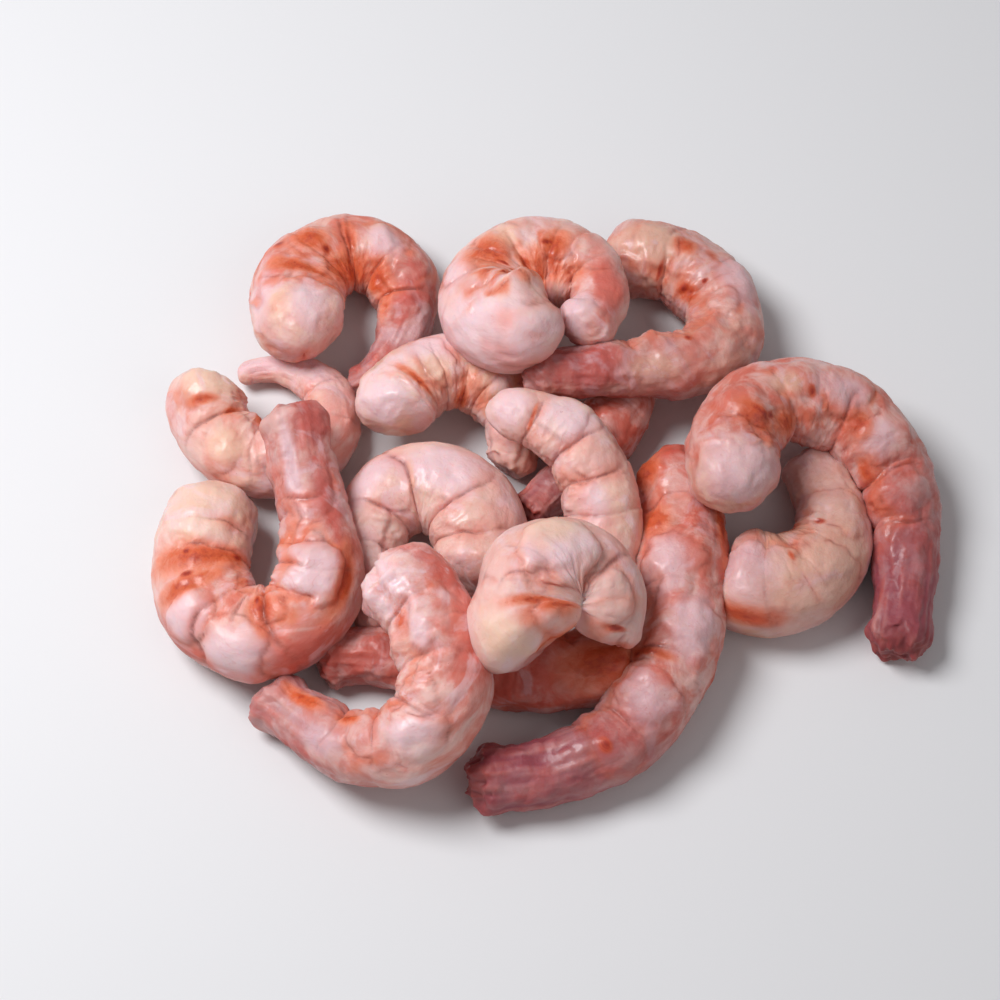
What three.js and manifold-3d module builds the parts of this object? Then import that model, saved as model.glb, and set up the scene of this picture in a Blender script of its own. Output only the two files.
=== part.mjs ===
// A loose heap of peeled, cooked shrimp, fifteen bodies without head, shell or tail fan, as they fell.
// Millimetres, +Z up, +X to the right, +Y to the back. The origin is on the table, under the heap's middle.
import * as THREE from 'three';
import { mergeVertices } from 'three/addons/utils/BufferGeometryUtils.js';
import Module from 'manifold-3d';

const wasm = await Module();
wasm.setup();

const HEAP_CENTRE = { x: 7.66, y: 0.56 }; // middle of the heap, on the sheet where the shrimps are placed
const PRESS_GAP = 0.3;                    // what is left free where one shrimp presses into another
const SIDES = 12;                         // corners of a cross-section
const SPINE_STEPS = 240;
const SEGMENT_ENDS = [0.165, 0.325, 0.475, 0.615, 0.745];   // grooves between belly segments, share of length
const GROOVE_DEPTH = 0.07;                // how far a groove cuts in, as a share of the half thickness
const SEGMENT_SWELL = 0.025;              // how far a segment's middle swells out
const BACK_REACH = 1.06;                  // half thickness towards the back and the belly, against the mean
const SIDE_REACH = 0.94;                  // half thickness across, against the mean
const HEAD_ROUNDING = 0.075;              // share of the length in which the cut head end rounds off
const TAIL_ROUNDING = 0.045;
const STUMP_FLARE = 0.1;                  // how far the tail stump widens where the fan was pulled off
const STUMP_AT = 0.955;
const TYPICAL_NECK = 0.93;
const STUMP_FROM = 0.6;                   // where a tail starts to be stouter or slimmer than most
const STUMP_FULL = 0.9;
const STEEPEST = 0.3;                     // least share of a step that runs level

// Each shrimp starts at its head end and is swept towards its tail. head is where it starts, heading its
// first direction (degrees from +X), bend how fast it turns (degrees in a whole length) at five even
// stations, rise the height of its middle line at four even stations, girth its thickness, neck the head
// end's thickness as a share of girth, and stump how stout the tail is against most. They stand in the
// order in which they fell, the lowest first.
const SHRIMPS = [
  { name: 'shrimp_under_centre', head: [19, 28.5], heading: -61, bend: [-180, -150, -50, 10, 10],
    length: 36, rise: [4.6, 4.7, 3.9, 3.2], girth: 10.6, color: '#c98f85' },
  { name: 'shrimp_right_inner', head: [36.7, -14.3], heading: -40, bend: [250, 220, 170, 80, 60],
    length: 39, rise: [6.2, 6.2, 4.9, 3.8], girth: 14, stump: 1.1, color: '#d9b9a3' },
  { name: 'shrimp_front_under', head: [17.6, -29], heading: -171, bend: [-30, -40, -20, 20, 20],
    length: 46, rise: [5.6, 5.4, 4.6, 3.7], girth: 12.2, stump: 1.15, color: '#bd7263' },
  { name: 'shrimp_left_ring', head: [-47.3, 22.4], heading: -115, bend: [300, 290, 330, 350, 230],
    length: 54.5, rise: [8.5, 5.8, 4.6, 3], girth: 12.6, stump: 0.72, color: '#d8a596' },
  { name: 'shrimp_back_left', head: [-32.9, 26.6], heading: 107, bend: [-10, -300, -430, -200, -170],
    length: 62, rise: [11.3, 6.6, 4.7, 3.6], girth: 13.2, stump: 0.78, color: '#d18a72' },
  { name: 'shrimp_left_inner', head: [-17.6, 11.5], heading: 93, bend: [-210, -200, -260, -180, -150],
    length: 39, rise: [10.5, 9, 6.2, 4], girth: 12.6, color: '#d9a184' },
  { name: 'shrimp_middle', head: [-3.4, -16.8], heading: 81, bend: [30, 250, 420, 150, 140],
    length: 53, rise: [6.7, 6.9, 5.6, 3.8], girth: 15, color: '#d5b0ad' },
  { name: 'shrimp_front_long', head: [28.3, 9.8], heading: -81, bend: [-100, 10, -140, -200, -10],
    length: 78.5, rise: [5.3, 6.7, 5.7, 4.2], girth: 15, neck: 0.74, stump: 1.04, color: '#cc9296' },
  { name: 'shrimp_back_right', head: [18, 46.7], heading: 9, bend: [-150, -280, -370, -10, 50],
    length: 69, rise: [5.8, 6.2, 12, 14.5], girth: 13, color: '#cf9f8c' },
  { name: 'shrimp_centre_back', head: [13, -18.5], heading: 60, bend: [60, 120, 130, 160, 80],
    length: 43, rise: [5.4, 10.3, 14, 15.5], girth: 12.4, stump: 1.08, color: '#dcaea2' },
  { name: 'shrimp_front_left', head: [-18, -17], heading: -48, bend: [-30, -140, -430, -120, -30],
    length: 61, rise: [18.5, 16, 9, 3.7], girth: 14, stump: 1.06, color: '#d69a8f' },
  { name: 'shrimp_centre_top', head: [5, -33.6], heading: 136, bend: [-240, -210, -280, -300, -240],
    length: 38, rise: [20, 20.5, 18.5, 14.5], girth: 14.4, color: '#dca997' },
  { name: 'shrimp_left_hook', head: [-46.1, 2], heading: -93, bend: [-160, 320, 550, -10, 10],
    length: 76, rise: [6.5, 7.2, 11.3, 16.5], girth: 15, stump: 1.06, color: '#d29a91' },
  { name: 'shrimp_back_centre', head: [6.3, 25], heading: -173, bend: [-370, -350, -310, -310, -300],
    length: 53, rise: [19.5, 13.5, 13.5, 17], girth: 14.8, stump: 0.82, color: '#dba392' },
  { name: 'shrimp_right_arch', head: [37.5, -6.6], heading: 99, bend: [-40, -400, -296, -72, -80],
    length: 81, rise: [17.5, 12, 6.4, 3.9], girth: 14, stump: 1.06, color: '#cf8f86' },
];

// Straight-line reading of a table of [station, value] pairs.
function reading(table, t) {
  const next = table.findIndex(([station]) => station >= t);
  if (next <= 0) return table.at(next)[1];
  const [[t0, v0], [t1, v1]] = [table[next - 1], table[next]];
  return v0 + (v1 - v0) * (t - t0) / (t1 - t0);
}

const evenly = values => values.map((value, i) => [i / (values.length - 1), value]);

// Smooth curve through four evenly spaced values, straight beyond its ends.
function smooth(values, t) {
  const [a, b, c, d] = values;
  const p = [2 * a - b, a, b, c, d, 2 * d - c];
  const i = Math.min(Math.floor(t * 3), 2);
  const u = t * 3 - i;
  const [p0, p1, p2, p3] = p.slice(i, i + 4);
  return p1 + 0.5 * u * (p2 - p0 + u * (2 * p0 - 5 * p1 + 4 * p2 - p3 + u * (3 * (p1 - p2) + p3 - p0)));
}

// The line down a shrimp's middle: it turns and rises as its numbers say, and keeps its whole length.
function spine({ head, heading, bend, length, rise }) {
  const step = length / SPINE_STEPS;
  const turning = evenly(bend);
  const points = [new THREE.Vector3(head[0], head[1], rise[0])];
  const headings = [THREE.MathUtils.degToRad(heading)];
  for (let i = 1; i <= SPINE_STEPS; i += 1) {
    const turn = reading(turning, (i - 0.5) / SPINE_STEPS) / SPINE_STEPS;
    headings.push(headings[i - 1] + THREE.MathUtils.degToRad(turn));
    const along = (headings[i] + headings[i - 1]) / 2;
    const z = smooth(rise, i / SPINE_STEPS);
    const last = points[i - 1];
    const level = Math.sqrt(Math.max(step ** 2 - (z - last.z) ** 2, (STEEPEST * step) ** 2));
    points.push(new THREE.Vector3(last.x + level * Math.cos(along), last.y + level * Math.sin(along), z));
  }
  return { points, headings };
}

// Half thickness at t as a share of half the girth: rounded head end, long taper, flared stump, grooves.
function thickness(t, neck, stump) {
  const body = reading([[0, neck], [0.1, 0.5 + 0.53 * neck], [0.25, 1.02], [0.4, 0.98],
    [0.6, 0.88], [0.74, 0.74], [0.86, 0.64], [1, 0.58]], t);
  const rounding = share => Math.sqrt(1 - (1 - Math.min(share, 1)) ** 2);
  const flare = 1 + STUMP_FLARE * Math.exp(-(((t - STUMP_AT) / 0.025) ** 2));
  const ends = rounding(t / HEAD_ROUNDING) * rounding((1 - t) / TAIL_ROUNDING);
  const nearest = Math.min(...SEGMENT_ENDS.map(end => Math.abs(t - end)));
  const build = 1 + (stump - 1) * THREE.MathUtils.clamp((t - STUMP_FROM) / (STUMP_FULL - STUMP_FROM), 0, 1);
  const groove = 1 - GROOVE_DEPTH * Math.exp(-((nearest / 0.012) ** 2));
  const swell = 1 + SEGMENT_SWELL * Math.min(nearest / 0.05, 1);
  return body * flare * ends * build * groove * swell;
}

// Cross-sections stand at the ends' rounding, in each groove and three times between two grooves.
function stations() {
  const edges = [HEAD_ROUNDING, ...SEGMENT_ENDS, 0.87];
  const between = edges.slice(1).flatMap((end, i) =>
    [0, 0.22, 0.5, 0.78].map(share => edges[i] + share * (end - edges[i])));
  return [0.01, 0.035, ...between, 0.87, 0.92, STUMP_AT, 0.98, 0.995];
}

// The closed skin of one shrimp, grown by an even amount. Where it would reach through the table it is flat.
function skin(shrimp, grown = 0) {
  const { points, headings } = spine(shrimp);
  const { neck = TYPICAL_NECK, stump = 1 } = shrimp;
  const curl = Math.sign(shrimp.bend.reduce((sum, value) => sum + value, 0));
  const corners = [];
  const rings = stations();
  const at = t => {
    const whole = Math.min(Math.floor(t * SPINE_STEPS), SPINE_STEPS - 1);
    const part = t * SPINE_STEPS - whole;
    const tangent = points[whole + 1].clone().sub(points[whole]).normalize();
    const heading = THREE.MathUtils.lerp(headings[whole], headings[whole + 1], part);
    return { point: points[whole].clone().lerp(points[whole + 1], part), tangent, heading };
  };
  for (const t of rings) {
    const { point, tangent, heading } = at(t);
    const back = new THREE.Vector3(Math.sin(heading), -Math.cos(heading), 0).multiplyScalar(curl);
    const side = new THREE.Vector3().crossVectors(tangent, back);
    const half = thickness(t, neck, stump) * shrimp.girth / 2;
    for (let j = 0; j < SIDES; j += 1) {
      const angle = 2 * Math.PI * (j + 0.5) / SIDES;   // a flat, not a corner, lies lowest
      corners.push(point.clone()
        .addScaledVector(back, (half * BACK_REACH + grown) * Math.cos(angle))
        .addScaledVector(side, (half * SIDE_REACH + grown) * Math.sin(angle)));
    }
  }
  const first = at(0);
  const last = at(1);
  corners.push(first.point.addScaledVector(first.tangent, -grown));
  corners.push(last.point.addScaledVector(last.tangent, grown));
  const faces = [];
  const headTip = rings.length * SIDES;
  for (let j = 0; j < SIDES; j += 1) {
    const k = (j + 1) % SIDES;
    faces.push(headTip, k, j);
    for (let i = 0; i < rings.length - 1; i += 1) {
      const row = i * SIDES;
      faces.push(row + j, row + k, row + SIDES + k, row + j, row + SIDES + k, row + SIDES + j);
    }
    const row = (rings.length - 1) * SIDES;
    faces.push(headTip + 1, row + j, row + k);
  }
  const floor = -grown;
  const flat = corners.flatMap(({ x, y, z }) => [x - HEAP_CENTRE.x, y - HEAP_CENTRE.y, Math.max(z, floor)]);
  const geometry = new THREE.BufferGeometry();
  geometry.setAttribute('position', new THREE.Float32BufferAttribute(flat, 3));
  geometry.setIndex(faces);
  return geometry;
}

function solid(geometry) {
  const merged = mergeVertices(geometry, 1e-5);
  return new wasm.Manifold(new wasm.Mesh({
    numProp: 3,
    vertProperties: new Float32Array(merged.attributes.position.array),
    triVerts: new Uint32Array(merged.index.array),
  }));
}

function surface(body) {
  const { vertProperties, triVerts } = body.getMesh();
  const geometry = new THREE.BufferGeometry();
  geometry.setAttribute('position', new THREE.BufferAttribute(vertProperties, 3));
  geometry.setIndex(new THREE.BufferAttribute(triVerts, 1));
  geometry.computeVertexNormals();
  return geometry;
}

// A shrimp is dented by every one that fell on it later and reaches into it.
function dented(index) {
  const own = skin(SHRIMPS[index]);
  own.computeBoundingBox();
  let body = solid(own);
  for (const upper of SHRIMPS.slice(index + 1)) {
    const weight = skin(upper, PRESS_GAP);
    weight.computeBoundingBox();
    if (weight.boundingBox.intersectsBox(own.boundingBox)) body = body.subtract(solid(weight));
  }
  return surface(body);
}

const group = new THREE.Group();
SHRIMPS.forEach(({ name, color }, index) => {
  const flesh = new THREE.MeshStandardMaterial({ color, roughness: 0.32, metalness: 0 });
  const shrimp = new THREE.Mesh(dented(index), flesh);
  shrimp.name = name;
  group.add(shrimp);
});

export default group;
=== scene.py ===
"""A loose heap of peeled, cooked shrimp on a pale table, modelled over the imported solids."""
import math

import bpy
import numpy as np
from bpy.props import FloatProperty, FloatVectorProperty, IntProperty, PointerProperty
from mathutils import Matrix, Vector


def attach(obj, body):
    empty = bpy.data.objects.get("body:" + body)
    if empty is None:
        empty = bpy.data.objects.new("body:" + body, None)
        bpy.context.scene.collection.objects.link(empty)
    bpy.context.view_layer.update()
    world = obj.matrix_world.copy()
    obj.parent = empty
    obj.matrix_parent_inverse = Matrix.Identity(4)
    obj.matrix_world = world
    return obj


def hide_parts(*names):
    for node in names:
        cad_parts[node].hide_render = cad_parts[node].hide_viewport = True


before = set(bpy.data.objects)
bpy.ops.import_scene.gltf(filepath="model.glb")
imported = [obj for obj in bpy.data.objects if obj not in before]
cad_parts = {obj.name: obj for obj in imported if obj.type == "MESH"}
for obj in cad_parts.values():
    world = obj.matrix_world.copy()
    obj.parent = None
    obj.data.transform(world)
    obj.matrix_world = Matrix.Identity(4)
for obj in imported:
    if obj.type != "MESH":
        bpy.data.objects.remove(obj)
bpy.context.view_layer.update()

bl_info = {
    "name": "Shrimp Heap",
    "version": (1, 0, 0),
    "blender": (4, 5, 0),
    "location": "3D View > Sidebar > Shrimp Heap",
    "description": "Builds a heap of peeled, cooked shrimp and its studio stage",
    "category": "Object",
}

MM = 0.001
HEAP_CENTRE = np.array([7.66, 0.56, 0.0])   # middle of the heap, on the sheet where the shrimps are placed
SEGMENT_ENDS = (0.165, 0.325, 0.475, 0.615, 0.745)   # grooves between segments, share of length
BACK_REACH, SIDE_REACH = 1.06, 0.94         # half thickness towards the back, and across, against the mean
HEAD_ROUNDING, TAIL_ROUNDING = 0.075, 0.045
STUMP_AT, STUMP_FLARE = 0.955, 0.1
STUMP_FROM, STUMP_FULL = 0.6, 0.9           # where a tail gets stouter or slimmer than most
TYPICAL_NECK = 0.93
STEEPEST = 0.3
SPINE_STEPS = 240
TAIL_START = 0.9            # share of the length where the last segment ends
FLANK_EDGE = 1.95           # radians from the back where a segment's side ends
NUBS_APART = 3.2            # how far the nubs on the belly lie from its middle, in mm
LINE_WIDTH, CREASE_WIDTH = 0.28, 1.2        # of a groove and of the soft fold round it, in mm
SLIT_CREASE = 1.3

# Where each shrimp starts, which way it heads (degrees from +X), how fast it turns at five even stations
# (degrees in a whole length), how high its middle line runs at four, and its size, in mm. Dome is the
# share of the length where the bare head end shows. Looks go from 0 to 1: blush is how pink it is, orange
# how much orange shows in its folds, cream how yellow its pale parts are, mauve how purple its tail is,
# painted_shade how much darker shade is painted into it where it lies in the shadow of others and away
# from the light, folds how clear its creases are, torn how ragged its stump is. The lowest come first, as
# they fell.
# Some shrimps say more. Joints are the shares of the length where the grooves lie, neck how thick the head
# end is and stump how thick the tail is against the usual, and tip the share that the tail's end takes to
# round off. Reach and tuck are how much further the tail and the head end go, fill how far the inside of
# the curl swells, and cap how far from its middle a tight curl closes over, all in mm. Fibres, lobes and
# uneven are how strong the tail's fibres, the lobes and the lumps in the flesh are, with 1 as usual.
SHRIMPS = {
    "shrimp_under_centre": dict(
        head=(19, 28.5), heading=-61, bend=(-180, -150, -50, 10, 10), length=36,
        rise=(4.6, 4.7, 3.9, 3.2), girth=10.6, slot="flesh_dusky",
        blush=0.8, orange=0.3, cream=0.2, mauve=0.7, painted_shade=0.35, folds=0.6, torn=1.0, dome=0.0),
    "shrimp_right_inner": dict(
        head=(36.7, -14.3), heading=-40, bend=(250, 220, 170, 80, 60), length=39,
        rise=(6.2, 6.2, 4.9, 3.8), girth=14, stump=1.1, tuck=1.0, fibres=0.4, lobes=0.35, uneven=0.7,
        slot="flesh_pale",
        blush=0.1, orange=0.4, cream=1.0, mauve=0.1, painted_shade=0.33, folds=0.25, torn=0.2, dome=0.0),
    "shrimp_front_under": dict(
        head=(17.6, -29), heading=-171, bend=(-30, -40, -20, 20, 20), length=46,
        rise=(5.6, 5.4, 4.6, 3.7), girth=12.2, stump=1.15, tuck=4.0, slot="flesh_dusky",
        blush=0.9, orange=0.9, cream=0.1, mauve=0.3, painted_shade=0.35, folds=0.5, torn=1.0, dome=0.0),
    "shrimp_left_ring": dict(
        head=(-47.3, 22.4), heading=-115, bend=(300, 290, 330, 350, 230), length=54.5,
        rise=(8.5, 5.8, 4.6, 3), girth=12.6, stump=0.66, reach=3.0, fibres=0.3, lobes=0.5,
        joints=(0.2, 0.34, 0.48, 0.62, 0.745), slot="flesh_pale",
        blush=0.5, orange=0.3, cream=0.55, mauve=0.1, painted_shade=0.0, folds=0.4, torn=0.1, dome=0.09),
    "shrimp_back_left": dict(
        head=(-32.9, 26.6), heading=107, bend=(-10, -300, -430, -200, -170), length=62,
        rise=(11.3, 6.6, 4.7, 3.6), girth=13.2, stump=0.78,
        joints=(0.165, 0.3, 0.43, 0.56, 0.678), slot="flesh_rosy",
        blush=0.8, orange=0.7, cream=0.4, mauve=0.5, painted_shade=0.05, folds=0.6, torn=0.8, dome=0.14),
    "shrimp_left_inner": dict(
        head=(-17.6, 11.5), heading=93, bend=(-210, -200, -260, -180, -150), length=39,
        rise=(10.5, 9, 6.2, 4), girth=12.6, lobes=0.5,
        joints=(0.19, 0.34, 0.484, 0.62, 0.75), slot="flesh_pale",
        blush=0.3, orange=0.45, cream=0.9, mauve=0.2, painted_shade=0.0, folds=0.35, torn=0.4, dome=0.12),
    "shrimp_middle": dict(
        head=(-3.4, -16.8), heading=81, bend=(30, 250, 420, 150, 140), length=53,
        rise=(6.7, 6.9, 5.6, 3.8), girth=15, fibres=0.3, lobes=0.6, uneven=0.7,
        joints=(0.155, 0.29, 0.5, 0.64, 0.76), slot="flesh_pale",
        blush=0.3, orange=0.15, cream=0.45, mauve=0.2, painted_shade=0.04, folds=0.9, torn=0.4, dome=0.0),
    "shrimp_front_long": dict(
        head=(28.3, 9.8), heading=-81, bend=(-100, 10, -140, -200, -10), length=78.5,
        rise=(5.3, 6.7, 5.7, 4.2), girth=15, neck=0.74, stump=1.04, fibres=0.7, lobes=0.8,
        joints=(0.17, 0.36, 0.54, 0.69, 0.76), slot="flesh_rosy",
        blush=0.75, orange=0.4, cream=0.1, mauve=1.0, painted_shade=0.2, folds=0.6, torn=1.0, dome=0.0),
    "shrimp_back_right": dict(
        head=(18, 46.7), heading=9, bend=(-150, -280, -370, -10, 50), length=69,
        rise=(5.8, 6.2, 12, 14.5), girth=13, fibres=0.7, slot="flesh_rosy",
        blush=0.55, orange=0.45, cream=0.7, mauve=0.5, painted_shade=0.26, folds=0.5, torn=0.8, dome=0.0),
    "shrimp_centre_back": dict(
        head=(13, -18.5), heading=60, bend=(60, 120, 130, 160, 80), length=43,
        rise=(5.4, 10.3, 14, 15.5), girth=12.4, stump=1.08, tip=0.13, fibres=0.1, lobes=0.5,
        uneven=0.6, joints=(0.2, 0.34, 0.48, 0.624, 0.815), slot="flesh_pale",
        blush=0.3, orange=0.3, cream=0.6, mauve=0.0, painted_shade=0.02, folds=0.6, torn=0.0, dome=0.0),
    "shrimp_front_left": dict(
        head=(-18, -17), heading=-48, bend=(-30, -140, -430, -120, -30), length=61,
        rise=(18.5, 16, 9, 3.7), girth=14, stump=1.06, fibres=0.6, slot="flesh_rosy",
        blush=0.6, orange=0.4, cream=0.1, mauve=0.5, painted_shade=0.0, folds=0.6, torn=0.7, dome=0.0),
    "shrimp_centre_top": dict(
        head=(5, -33.6), heading=136, bend=(-240, -210, -280, -300, -240), length=38,
        rise=(20, 20.5, 18.5, 14.5), girth=14.4, fibres=0.2, fill=2.3, cap=4.0, lobes=0.3,
        uneven=0.6, joints=(0.19, 0.725), slot="flesh_pale",
        blush=0.25, orange=0.3, cream=0.3, mauve=0.1, painted_shade=0.0, folds=0.2, torn=0.3, dome=0.0),
    "shrimp_left_hook": dict(
        head=(-46.1, 2), heading=-93, bend=(-160, 320, 550, -10, 10), length=76,
        rise=(6.5, 7.2, 11.3, 16.5), girth=15, stump=1.06, fibres=0.6, uneven=0.8,
        joints=(0.2, 0.345, 0.47, 0.62, 0.745), slot="flesh_rosy",
        blush=0.65, orange=0.5, cream=0.2, mauve=0.35, painted_shade=0.0, folds=0.7, torn=0.4, dome=0.19),
    "shrimp_back_centre": dict(
        head=(6.3, 25), heading=-173, bend=(-370, -350, -310, -310, -300), length=53,
        rise=(19.5, 13.5, 13.5, 17), girth=14.8, stump=0.82, fibres=0.3, fill=0.8,
        uneven=0.8, joints=(0.2, 0.33, 0.46, 0.6, 0.745), slot="flesh_rosy",
        blush=0.4, orange=0.75, cream=0.3, mauve=0.1, painted_shade=0.0, folds=0.5, torn=0.5, dome=0.15),
    "shrimp_right_arch": dict(
        head=(37.5, -6.6), heading=99, bend=(-40, -400, -296, -72, -80), length=81,
        rise=(17.5, 12, 6.4, 3.9), girth=14, stump=1.06, fibres=0.7,
        joints=(0.165, 0.3, 0.46, 0.616, 0.728), slot="flesh_rosy",
        blush=0.75, orange=0.4, cream=0.1, mauve=1.0, painted_shade=0.25, folds=0.8, torn=1.0, dome=0.09),
}
NAMES = list(SHRIMPS)
MASKS = ("along", "belly", "line", "crease", "hem", "bare", "lip", "tint", "fibre", "under",
         "orange", "pale", "cream", "rosy", "fleck", "torn")

# Patches that stand out: kind, share of the length, degrees round the body (0 back, 90 top, 180 belly),
# and how far they reach along and round the body, in mm.
PATCHES = {
    "shrimp_right_inner": (
        ("pale", 0.09, 90, 5, 6), ("cream", 0.38, 70, 9, 7), ("fleck", 0.546, 111, 0.7, 1.0),
        ("orange", 0.5, 168, 5, 3), ("fleck", 0.53, 162, 1.2, 2.4), ("orange", 0.12, 28, 3.4, 1.8),
        ("orange", 0.273, 107, 0.5, 0.9), ("pale", 0.36, 62, 6, 4)),
    "shrimp_front_under": (
        ("orange", 0.09, 70, 5, 5), ("rosy", 0.3, 60, 9, 6)),
    "shrimp_left_ring": (
        ("orange", 0.125, 84, 0.8, 2.4), ("orange", 0.19, 118, 0.8, 2), ("cream", 0.05, 100, 5, 6),
        ("slit", 0.2, 80, 0.3, 5), ("cream", 0.27, 72, 3, 3), ("pale", 0.9, 75, 12, 7),
        ("orange", 0.33, 150, 3, 2.5)),
    "shrimp_back_left": (
        ("pale", 0.06, 115, 4, 4), ("orange", 0.2, 100, 1.4, 6), ("orange", 0.38, 143, 15, 3.2),
        ("fleck", 0.27, 48, 0.8, 0.9), ("fleck", 0.32, 107, 1.2, 0.8),
        ("slit", 0.414, 90, 0.3, 5), ("pale", 0.52, 84, 4, 3), ("slit", 0.68, 95, 0.3, 5),
        ("rosy", 0.67, 80, 5, 5), ("pale", 0.13, 40, 6, 3), ("orange", 0.42, 100, 1.4, 4),
        ("orange", 0.6, 135, 5, 3), ("orange", 0.0, 280, 2.6, 2.6), ("orange", 0.31, 83, 2.8, 2.8)),
    "shrimp_left_inner": (
        ("orange", 0.187, 112, 0.8, 4.5), ("orange", 0.49, 160, 3.6, 3), ("pale", 0.33, 80, 4, 5),
        ("cream", 0.3, 112, 4, 3), ("cream", 0.62, 87, 5, 4), ("pale", 0.03, 73, 5, 6)),
    "shrimp_middle": (
        ("slit", 0.5, 105, 0.3, 5.5), ("cream", 0.476, 108, 0.7, 5), ("slit", 0.29, 132, 0.3, 4),
        ("slit", 0.155, 112, 0.3, 4), ("slit", 0.64, 105, 0.3, 5), ("pale", 0.4, 85, 7, 5),
        ("pale", 0.58, 64, 5, 3)),
    "shrimp_front_long": (
        ("rosy", 0.04, 120, 5, 7), ("orange", 0.224, 120, 3, 2.8), ("orange", 0.22, 28, 7, 1.6),
        ("orange", 0.083, 140, 4, 3),
        ("pale", 0.33, 112, 6, 4), ("pale", 0.45, 70, 6, 4), ("orange", 0.517, 107, 0.9, 4),
        ("fleck", 0.525, 132, 0.8, 1.2), ("pale", 0.624, 83, 4, 3.4), ("slit", 0.682, 100, 0.3, 4.5),
        ("fleck", 0.732, 75, 0.9, 1.6), ("rosy", 0.73, 75, 2, 3), ("slit", 0.51, 110, 0.3, 4)),
    "shrimp_back_right": (
        ("cream", 0.12, 92, 7, 5), ("orange", 0.191, 83, 2.2, 1.8), ("fleck", 0.153, 132, 0.5, 1.8),
        ("fleck", 0.27, 138, 1.3, 1.2), ("orange", 0.3, 138, 5, 2), ("fleck", 0.608, 107, 0.7, 0.8),
        ("rosy", 0.85, 70, 9, 7), ("cream", 0.71, 60, 5, 4), ("pale", 0.35, 66, 7, 3),
        ("fleck", 0.31, 108, 0.5, 0.6)),
    "shrimp_centre_back": (
        ("orange", 0.82, 112, 0.4, 3.4), ("slit", 0.815, 100, 0.2, 2.6), ("slit", 0.624, 95, 0.25, 4),
        ("slit", 0.476, 88, 0.25, 4), ("pale", 0.38, 108, 4, 3), ("pale", 0.92, 100, 4, 6),
        ("pale", 0.7, 80, 4, 5)),
    "shrimp_front_left": (
        ("torn", 0.07, 125, 7, 6), ("pale", 0.09, 128, 9, 4), ("rosy", 0.12, 48, 8, 5.5),
        ("rosy", 0.3, 58, 9, 4.5), ("pale", 0.25, 115, 4, 2), ("orange", 0.705, 112, 2.6, 1.8),
        ("orange", 0.87, 112, 4.5, 2.2), ("pale", 0.513, 80, 4, 3), ("rosy", 0.79, 10, 5, 3),
        ("pale", 0.75, 60, 4, 3), ("torn", 0.44, 128, 1.6, 2.4), ("orange", 0.19, 132, 2, 1.6)),
    "shrimp_centre_top": (
        ("cream", 0.06, 60, 4, 4), ("orange", 0.165, 112, 1.2, 4.5), ("rosy", 0.5, 180, 9, 2.6),
        ("orange", 0.12, 134, 2.2, 3.2), ("orange", 0.0, 170, 2.4, 3), ("orange", 1.0, 170, 2.4, 3),
        ("fleck", 0.95, 76, 0.5, 2.6), ("cream", 0.5, 66, 4, 4), ("slit", 0.72, 80, 0.3, 5)),
    "shrimp_left_hook": (
        ("cream", 0.08, 95, 8, 9), ("slit", 0.129, 125, 0.2, 3.5), ("orange", 0.215, 95, 2.8, 9),
        ("fleck", 0.21, 140, 1.1, 1.1), ("fleck", 0.2, 78, 0.6, 0.8), ("fleck", 0.25, 76, 0.6, 1.2),
        ("slit", 0.345, 50, 0.3, 6), ("slit", 0.41, 97, 0.3, 2.5), ("pale", 0.3, 50, 4, 3.6),
        ("pale", 0.4, 42, 4, 4), ("slit", 0.47, 90, 0.4, 7), ("rosy", 0.47, 20, 4, 4),
        ("rosy", 0.35, 10, 9, 3), ("orange", 0.45, 100, 3.4, 2.6), ("rosy", 0.488, 34, 4.5, 3),
        ("pale", 0.6, 95, 5.5, 4), ("orange", 0.6, 48, 5, 1.8), ("orange", 0.27, 70, 1.6, 6),
        ("slit", 0.777, 105, 0.3, 4), ("slit", 0.682, 105, 0.3, 4), ("rosy", 0.76, 62, 9, 3.4),
        ("pale", 0.83, 112, 11, 2), ("rosy", 0.93, 55, 5, 5), ("fleck", 0.44, 110, 0.7, 1.0)),
    "shrimp_back_centre": (
        ("pale", 0.1, 50, 7, 9), ("pale", 0.16, 0, 7, 7), ("orange", 0.36, 80, 4, 4),
        ("cream", 0.45, 80, 2.4, 4), ("orange", 0.53, 138, 3.6, 5), ("orange", 0.6, 105, 3, 4.5),
        ("fleck", 0.57, 95, 1.4, 0.7), ("rosy", 0.86, 75, 8, 6), ("orange", 0.45, 120, 2.4, 3),
        ("fleck", 0.34, 104, 0.5, 1.2), ("pale", 0.28, 50, 4, 3), ("pale", 0.97, 130, 4, 4.5)),
    "shrimp_right_arch": (
        ("pale", 0.03, 100, 6, 9), ("orange", 0.17, 112, 2.6, 4), ("fleck", 0.187, 112, 0.8, 2.6),
        ("fleck", 0.207, 124, 1.0, 0.8), ("fleck", 0.356, 106, 0.7, 0.9),
        ("pale", 0.44, 87, 3.6, 3), ("orange", 0.492, 112, 3.2, 2.4), ("pale", 0.542, 97, 3.6, 3),
        ("slit", 0.629, 88, 0.3, 5.5), ("slit", 0.74, 92, 0.3, 5.5), ("orange", 0.25, 145, 5, 2.6),
        ("orange", 0.6, 140, 3.5, 1.6), ("cream", 0.3, 95, 3, 2.4)),
}

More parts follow.
